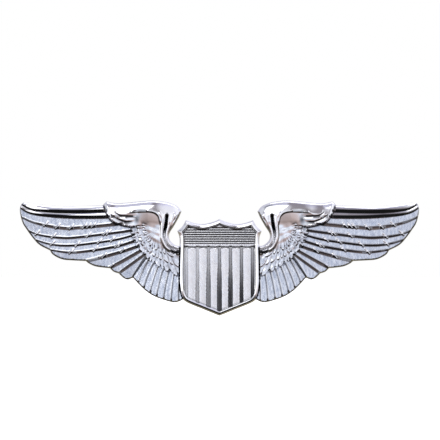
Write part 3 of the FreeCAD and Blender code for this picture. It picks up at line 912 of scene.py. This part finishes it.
def shield_relief(p):
    """Height, polish and shade of the shield: rim, lined chief, bright bar and six pales."""
    edge, _ = nearest(p, ring_of(SHIELD_LOOP))
    s, z = p[:, 0], p[:, 1]
    polish = np.full(len(p), FIELD_POLISH)
    shade = np.zeros(len(p))
    # pales parted by grooves that widen towards the point, with painted shade in the grooves that
    # grows towards the point and towards the right
    groove_at = np.round(s / PALE_PITCH) * PALE_PITCH
    away = np.abs(s - groove_at)
    deep = step_up(z, 2.5, -7.5)
    half = PALE_GAP + PALE_GAP_GROWTH * deep * np.exp(-(groove_at / 5.0) ** 2)
    below = step_up(z, PALES_TOP + 0.08, PALES_TOP - 0.08)
    body = step_up(away, half, half + 0.16)
    crown = 0.03 * np.cos(s / PALE_PITCH * 2 * np.pi)
    height = FIELD_RELIEF + below * (PALE_RELIEF * body + crown - 0.05)
    lip = np.exp(-((away - half - 0.22) / 0.09) ** 2)
    polish = np.maximum(polish, below * 0.75 * lip)
    # painted shade in the grooves, weaker at the left and stronger towards the right
    groove_shade_weight = 0.3 + 0.65 * step_up(s, -6.0, 1.0)
    shade = np.maximum(shade, below * (1 - body) * groove_shade_weight * (0.45 + 0.55 * deep))
    # chief: lines cut across it, with painted shade along the lines and a little over the whole
    # chief
    in_chief = step_up(z, CHIEF_LOW - 0.08, CHIEF_LOW + 0.08)
    wave = 0.5 + 0.5 * np.cos((z - CHIEF_TOP) / CHIEF_PITCH * 2 * np.pi)
    lined = step_up(z, CHIEF_TOP + 0.25, CHIEF_TOP + 0.12)
    height = height * (1 - in_chief) + (CHIEF_RELIEF - CHIEF_CUT * wave * lined) * in_chief
    shade = np.maximum(shade * (1 - in_chief), in_chief * (0.08 + 0.9 * lined * wave ** 1.6))
    polish = polish * (1 - in_chief) + 0.2 * in_chief
    bar = np.exp(-((z - BAR_AT) / 0.2) ** 4)
    height = height * (1 - bar) + (FIELD_RELIEF + BAR_RELIEF) * bar
    polish = np.maximum(polish, 0.6 * bar)
    shade *= 1 - bar
    # painted shade along a dark line below the bar, over a very shallow dip
    line = np.exp(-((z - DARK_LINE_AT) / 0.12) ** 4)
    height = height * (1 - line) + (FIELD_RELIEF - 0.04) * line
    shade = np.maximum(shade, line * 0.9)
    # rim: sloped outer face with painted shade low down, bright inner lip, painted shadow inside it
    rim = step_up(edge, RIM_WIDTH + 0.1, RIM_WIDTH - 0.06)
    outer_fall = RIM_FALL * np.clip((RIM_CREST - edge) / RIM_CREST, 0, 1)
    inner_fall = RIM_LIP_FALL * step_up(edge, 0.64, 0.86)
    height = height * (1 - rim) + (SHIELD_RELIEF - outer_fall - inner_fall) * rim
    polish = np.maximum(polish * (1 - rim), rim)
    inner = np.exp(-((edge - RIM_WIDTH - 0.14) / 0.1) ** 2)
    top = step_up(z, 4.6, 5.8)
    shade = np.maximum(shade * (1 - rim), inner * (0.55 + 0.4 * top))
    slope = step_up(edge, 0.6, 0.4) * step_up(z, -5.5, -7.5)
    shade = np.maximum(shade, 0.22 * slope)
    wall = np.clip((edge - 0.04) / 0.26, 0, 1)
    foot = SEAT_RELIEF + 0.3
    height = np.minimum(height, foot + (SHIELD_RELIEF - foot) * wall ** 0.7)
    return height, polish, shade


def level_line(z, spacing):
    """Points along a level line from side to side of the shield."""
    reach = 8.0
    return resample(np.array([(-reach, z), (reach, z)]), spacing)


def build_shield(material):
    """The shield, with lines of points along its rim, grooves, chief and bar."""
    groove_spacing = 0.11
    chief_spacing = 0.2
    field = shield_outline(RIM_FOOT)
    lines = []
    for inset in RIM_RINGS:
        lines += trimmed(ring_of(shield_outline(inset)), SHIELD_LOOP, 0.05)
    for k in range(-(PALE_COUNT // 2), PALE_COUNT // 2 + 1):
        for side in GROOVE_COLUMNS:
            s = k * PALE_PITCH + side
            column = np.array([(s, SHIELD_SIDE[-1][1]), (s, PALES_TOP)])
            lines += trimmed(resample(column, groove_spacing), field, LINE_GAP)
    for k in range(4 * CHIEF_LINES + 1):
        z = CHIEF_TOP - (k - 1) * CHIEF_PITCH / 4
        lines += trimmed(level_line(z, chief_spacing), field, LINE_GAP)
    for z in BAR_ROWS:
        lines += trimmed(level_line(z, SHIELD_SPACING), field, LINE_GAP)
    fill = fill_points(SHIELD_LOOP, np.vstack([SHIELD_LOOP] + lines), groove_spacing)
    chief = (fill[:, 1] > CHIEF_LOW) & (fill[:, 1] < CHIEF_TOP)
    fill = fill[~chief & inside(fill, field)]
    looks = {}

    def relief(p):
        height, looks["polish"], looks["shade"] = shield_relief(p)
        return height

    vertices, faces = relief_solid(SHIELD_LOOP, lines, fill, relief)
    vertices[len(looks["polish"]):, 1] = -SEAT_RELIEF
    return make_piece("struck_shield", vertices, faces, material, with_back(looks, len(vertices)))


def mirrored_piece(name, vertices, faces, material, attributes):
    """The right half and its mirror image, welded along the mid-span plane."""
    count = len(vertices)
    seam = np.abs(vertices[:, 0]) < 1e-6
    other = vertices * np.array([-1, 1, 1])
    index = np.arange(count, 2 * count)
    index[seam] = np.nonzero(seam)[0]
    on_seam = set(np.nonzero(seam)[0].tolist())
    kept = [f for f in faces if not all(i in on_seam for i in f)]
    flipped = [tuple(int(index[i]) for i in reversed(f)) for f in kept]
    both = {key: np.concatenate([v, v]) for key, v in attributes.items()}
    piece = make_piece(name, np.vstack([vertices, other]), kept + flipped, material, both)
    drop_loose(piece)
    return piece


def drop_loose(piece):
    """Deletes the points that belong to no face."""
    bm = bmesh.new()
    bm.from_mesh(piece.data)
    loose = [v for v in bm.verts if not v.link_faces]
    bmesh.ops.delete(bm, geom=loose, context="VERTS")
    bm.to_mesh(piece.data)
    bm.free()


def wire_spring(side, material):
    """A clutch's spring, copied from the CAD part in drawn steel and carried with its clutch."""
    node_name = side + "_clutch_spring"
    spring = bpy.data.objects.new(side + "_wire_spring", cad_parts[node_name].data.copy())
    bpy.context.scene.collection.objects.link(spring)
    spring.data.materials.clear()
    spring.data.materials.append(material)
    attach(spring, side + "_clutch")
    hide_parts(node_name)
    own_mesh(spring)


def circle(centre, radius):
    sides = 48
    turn = np.linspace(0, 2 * np.pi, sides, endpoint=False)
    return np.stack([centre[0] + radius * np.cos(turn), centre[1] + radius * np.sin(turn)], axis=1)


def smooth(piece):
    sharp_from = math.radians(40)
    piece.data.shade_smooth()
    piece.data.set_sharp_from_angle(angle=sharp_from)


FIT = 0.01
SOCKET_EDGE = 0.02
POST_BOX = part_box("right_post")
POST_AT = ((POST_BOX[0].x + POST_BOX[1].x) / 2 / MM, (POST_BOX[0].z + POST_BOX[1].z) / 2 / MM)
SOCKET_R = (POST_BOX[1].x - POST_BOX[0].x) / 2 / MM + FIT
SOCKET_DEPTH = -POST_BOX[0].y / MM
RIVET_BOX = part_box("shield_rivets")
RIVET_R = (RIVET_BOX[1].x - RIVET_BOX[0].x) / 2 / MM + FIT
RIVETS_AT = [(0.0, RIVET_BOX[1].z / MM - RIVET_R), (0.0, RIVET_BOX[0].z / MM + RIVET_R)]

PLATE = plated("bright_plate_wings", 0.24, (0.47, 0.52, 0.63, 1))
SHIELD_PLATE = plated("bright_plate_shield", 0.34, (0.97, 0.975, 0.98, 1))
STEEL = metal("drawn_steel", (0.66, 0.66, 0.67, 1), (0.5, 0.5, 0.5, 1), 0.22)
BRASS = metal("pressed_brass", (0.83, 0.62, 0.27, 1), (0.6, 0.42, 0.17, 1), 0.2)

wings = build_wings(PLATE)
smooth(wings)
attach(wings, WINGS_BODY)
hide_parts("wing_plate")

shield = build_shield(SHIELD_PLATE)
smooth(shield)
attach(shield, WINGS_BODY)
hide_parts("shield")

for side in ("left", "right"):
    wire_spring(side, STEEL)


def finish_of(node_name):
    """Material of a CAD node that stays in view."""
    if node_name == "shield_rivets":
        return PLATE
    return BRASS if "clutch" in node_name else STEEL


REPLACED = ("wing_plate", "shield", "left_clutch_spring", "right_clutch_spring")
for node_name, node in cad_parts.items():
    if node_name not in REPLACED:
        node.data.materials.clear()
        node.data.materials.append(finish_of(node_name))


# ---- stage ----
def floor():
    """Pale floor, a little below the badge."""
    size = 0.6
    drop = 0.004
    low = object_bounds()[0].z - drop
    corners = [(-size, -size, low), (size, -size, low), (size, size, low), (-size, size, low)]
    mesh = bpy.data.meshes.new("floor")
    mesh.from_pydata(corners, [], [(0, 1, 2, 3)])
    m = Shader("pale_floor")
    speck = m.noise(60.0, 2.0, 0.5)
    m.set(color=m.mix(speck, (0.93, 0.93, 0.93, 1), (0.97, 0.97, 0.97, 1)), rough=0.7,
          glow=(1, 1, 1, 1), glow_strength=0.75)
    mesh.materials.append(m.material)
    piece = bpy.data.objects.new("floor", mesh)
    bpy.context.scene.collection.objects.link(piece)
    piece.visible_glossy = False
    piece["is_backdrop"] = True


def studio():
    """White room as the camera sees it; the metal sees graded light with dark and pale cards."""
    world = bpy.data.worlds.new("studio")
    bpy.context.scene.world = world
    world.use_nodes = True
    tree = world.node_tree
    tree.nodes.clear()
    m = Nodes(tree)
    way = m.node("ShaderNodeTexCoord").outputs["Generated"]
    x, y, z = m.node("ShaderNodeSeparateXYZ", {0: way}).outputs
    # in front, by height: dark below, warm then blue-white at the horizon, grey above
    up = m.ramp(z, 0.0, 1.0, -1.0, 1.0)
    ramp = m.node("ShaderNodeValToRGB", {0: up})
    stops = [
        (0.0, (0.10, 0.09, 0.06)), (0.08, (0.03, 0.03, 0.03)), (0.20, (0.02, 0.02, 0.02)),
        (0.29, (0.12, 0.10, 0.10)), (0.37, (0.44, 0.35, 0.33)), (0.44, (0.62, 0.53, 0.53)),
        (0.485, (0.72, 0.77, 0.89)), (0.53, (0.94, 0.99, 1.07)), (0.60, (0.84, 0.85, 0.91)),
        (0.72, (0.70, 0.70, 0.75)), (0.90, (0.68, 0.68, 0.76)), (0.94, (0.62, 0.62, 0.76)),
        (1.0, (0.60, 0.60, 0.74)),
    ]
    elements = ramp.color_ramp.elements
    while len(elements) < len(stops):
        elements.new(0.5)
    for element, (at, color) in zip(elements, stops):
        element.position = at
        element.color = (*color, 1)
    # behind the badge
    behind = m.ramp(y, 0.0, 1.0, -0.05, 0.25)
    high = m.ramp(z, 0.0, 1.0, -0.15, 0.15)
    rear = m.mix(high, (0.30, 0.27, 0.19, 1), (0.64, 0.64, 0.76, 1))
    # pale cards at both sides
    across = m.math("ABSOLUTE", x)
    flank = m.ramp(across, 0.0, 1.0, 0.4, 0.65)
    flank = m.math("MULTIPLY", flank, m.ramp(z, 0.0, 1.0, -0.3, 0.0))
    sides = m.mix(m.ramp(x, 0.0, 1.0, -0.1, 0.1), (0.72, 0.74, 0.80, 1), (0.80, 0.81, 0.86, 1))
    # above the horizon, a dark strip in the middle and grey to its left
    above = m.ramp(z, 0.0, 1.0, 0.07, 0.27)
    strip = m.math("MULTIPLY", m.ramp(x, 0.0, 0.85, -0.03, 0.04), m.ramp(x, 1.0, 0.0, 0.12, 0.25))
    dim = m.math("MULTIPLY", strip, above)
    lofty = m.mix(dim, ramp.outputs[0], (0.15, 0.13, 0.145, 1))
    grey = m.math("MULTIPLY", m.ramp(x, 1.0, 0.0, -0.35, -0.2), above)
    lofty = m.mix(grey, lofty, (0.30, 0.31, 0.36, 1))
    front = m.mix(flank, lofty, sides)
    # dark cards far out at the sides
    card = m.math("MULTIPLY", m.ramp(across, 0.0, 1.0, 0.88, 0.95), m.ramp(z, 1.0, 0.0, 0.1, 0.4))
    front = m.mix(card, front, (0.12, 0.11, 0.10, 1))
    # the camera sees plain white, and the metal sees the right half brighter than the left
    white = (1.0, 1.0, 1.0, 1)
    seen = m.mix(behind, front, rear)
    light = m.node("ShaderNodeLightPath").outputs["Is Camera Ray"]
    final = m.mix(light, seen, white)
    level = m.mix(m.ramp(x, 0.0, 1.0, -0.05, 0.05), (0.94, 0.94, 0.94, 1), (1.25, 1.25, 1.25, 1))
    level = m.mix(light, level, white)
    back = m.node("ShaderNodeBackground", {"Color": final, "Strength": level})
    out = m.node("ShaderNodeOutputWorld")
    tree.links.new(back.outputs[0], out.inputs[0])


def camera():
    """Square view from straight in front, through a long lens."""
    view_width = 84.04
    view_centre = (0.1, 7.26)
    distance = 0.6
    data = bpy.data.cameras.new("camera")
    data.sensor_width = 36.0
    data.lens = data.sensor_width * distance / (view_width * MM)
    data.clip_start = 0.01
    eye = bpy.data.objects.new("camera", data)
    eye.location = (view_centre[0] * MM, -distance, view_centre[1] * MM)
    eye.rotation_euler = (math.radians(90), 0, 0)
    bpy.context.scene.collection.objects.link(eye)
    bpy.context.scene.camera = eye


def soft_box(name, place, size, power):
    """Rectangular lamp that faces the badge."""
    data = bpy.data.lights.new(name, "AREA")
    data.shape = "RECTANGLE"
    data.size, data.size_y = size
    data.energy = power
    lamp = bpy.data.objects.new(name, data)
    lamp.location = place
    lamp.rotation_euler = (Vector((0, 0, 0)) - Vector(place)).to_track_quat("-Z", "Y").to_euler()
    bpy.context.scene.collection.objects.link(lamp)


floor()
studio()
camera()
soft_box("key", (-0.072, -0.22, 0.17), (0.135, 0.24), 0.165)
soft_box("low_left", (-0.28, -0.16, 0.02), (0.2, 0.16), 0.11)
soft_box("back", (0.1, 0.35, 0.35), (0.4, 0.3), 0.6)
bpy.context.scene.view_settings.view_transform = "Standard"
